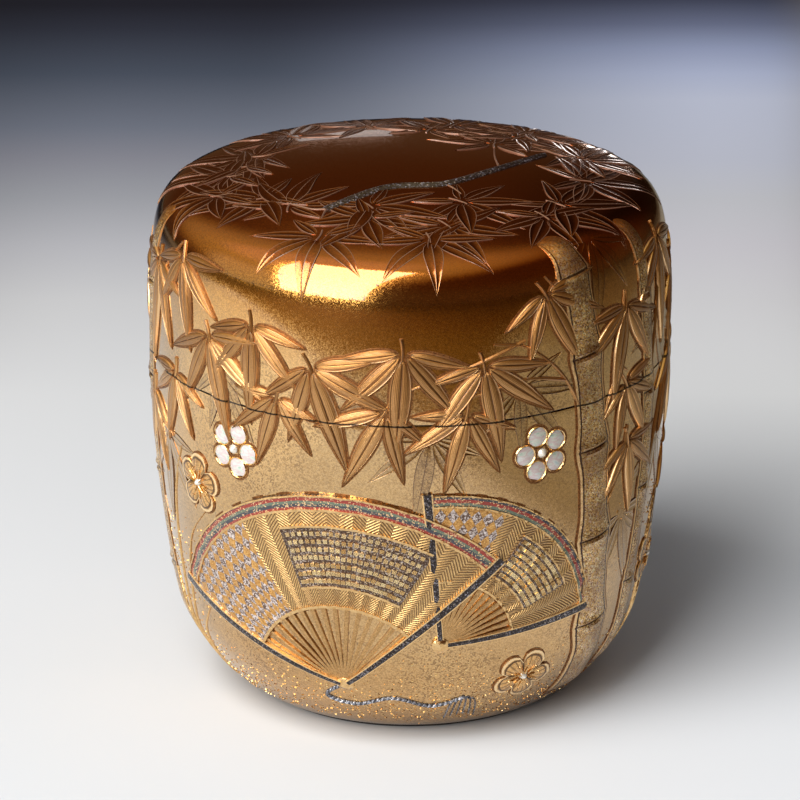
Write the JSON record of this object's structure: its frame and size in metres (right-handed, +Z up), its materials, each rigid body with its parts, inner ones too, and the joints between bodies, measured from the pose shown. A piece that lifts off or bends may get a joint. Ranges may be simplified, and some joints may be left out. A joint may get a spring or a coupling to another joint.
{
  "type": "natsume tea caddy",
  "caption": "Turned tea caddy in gold lacquer with raised bamboo, open fan and blossom ornament, shell inlay and a lift-off lid.",
  "frame": {"origin": "centre of the foot ring, on the surface the caddy stands on", "axes": "+Z up along the caddy's turning axis; the pictured front faces -Y"},
  "size_m": [0.0668, 0.0669, 0.0687],
  "materials": {
    "gold_lacquer": "gold-powder lacquer, satin metallic, with raised ornament",
    "black_lacquer": "polished black lacquer",
    "wood": "turned, bare, hidden under lacquer",
    "pearl_shell": "polished pearl shell",
    "bead": "pearly, polished"
  },
  "bodies": {
    "body": {"base_lacquer": "black_lacquer", "body_core": "wood", "body_lining": "black_lacquer", "body_gold_lacquer": "gold_lacquer", "shell_petal_1_1": "pearl_shell", "shell_petal_1_2": "pearl_shell", "shell_petal_1_3": "pearl_shell", "shell_petal_1_4": "pearl_shell", "shell_petal_1_5": "pearl_shell", "shell_petal_2_1": "pearl_shell", "shell_petal_2_2": "pearl_shell", "shell_petal_2_3": "pearl_shell", "shell_petal_2_4": "pearl_shell", "shell_petal_2_5": "pearl_shell", "shell_petal_3_1": "pearl_shell", "shell_petal_3_2": "pearl_shell", "shell_petal_3_3": "pearl_shell", "shell_petal_3_4": "pearl_shell", "shell_petal_3_5": "pearl_shell", "bead_1": "bead", "bead_2": "bead", "bead_3": "bead", "bead_4": "bead", "bead_5": "bead", "bead_6": "bead", "bead_7": "bead", "bead_8": "bead", "bead_9": "bead", "bead_10": "bead"},
    "lid": {"lid_core": "wood", "lid_lining": "black_lacquer", "lid_gold_lacquer": "gold_lacquer"}
  },
  "joints": [
    {"name": "lid_lift", "type": "slide", "parent": "body", "child": "lid", "axis": [0, 0, 1], "range_m": [0, 0.06]}
  ]
}
